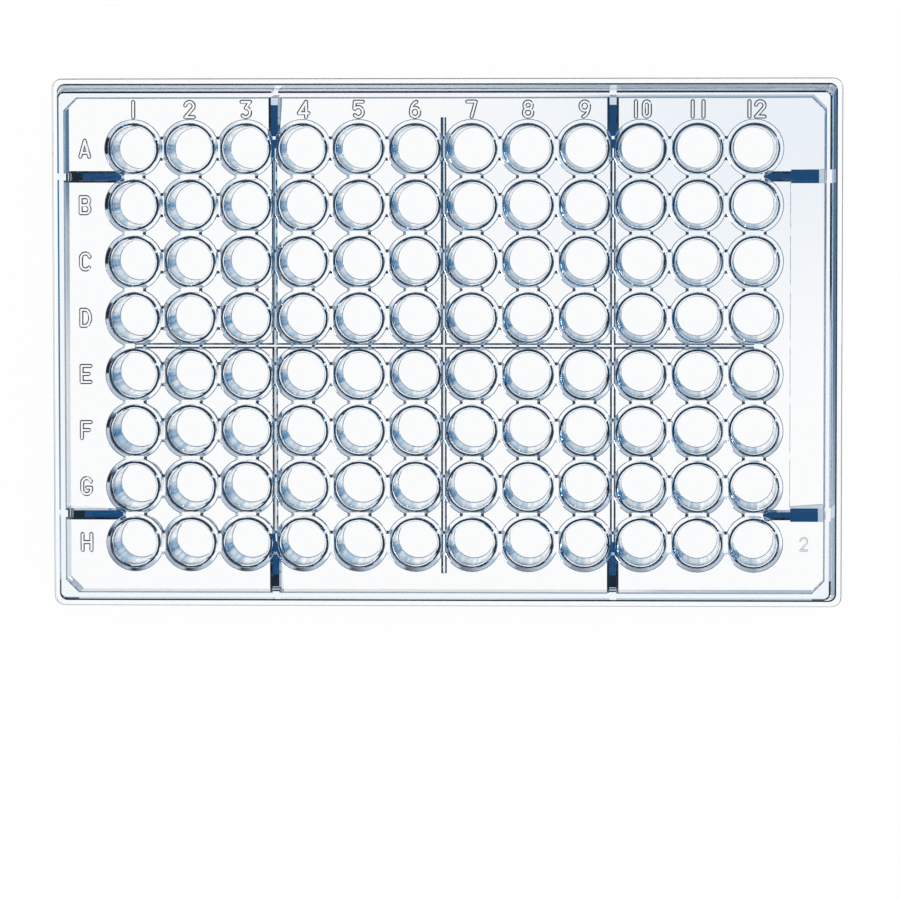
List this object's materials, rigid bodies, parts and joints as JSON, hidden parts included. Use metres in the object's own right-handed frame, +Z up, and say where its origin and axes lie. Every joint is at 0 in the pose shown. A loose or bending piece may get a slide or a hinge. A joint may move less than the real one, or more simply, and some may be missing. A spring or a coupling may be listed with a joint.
{
  "type": "well plate",
  "caption": "Clear moulded plate with a grid of small flat-bottomed round wells, raised row letters and column numbers, and a flanged skirt.",
  "frame": {"origin": "middle of the footprint, on the plane that the foot of the skirt rests on", "axes": "+X along the rows from column 1 to column 12, +Y from row H up to row A, +Z up out of the wells"},
  "size_m": [0.1278, 0.0854, 0.0143],
  "materials": {
    "clear_polystyrene": "clear, glossy, water-white with a faint blue cast"
  },
  "bodies": {
    "root": {"well_plate": "clear_polystyrene"}
  },
  "joints": []
}
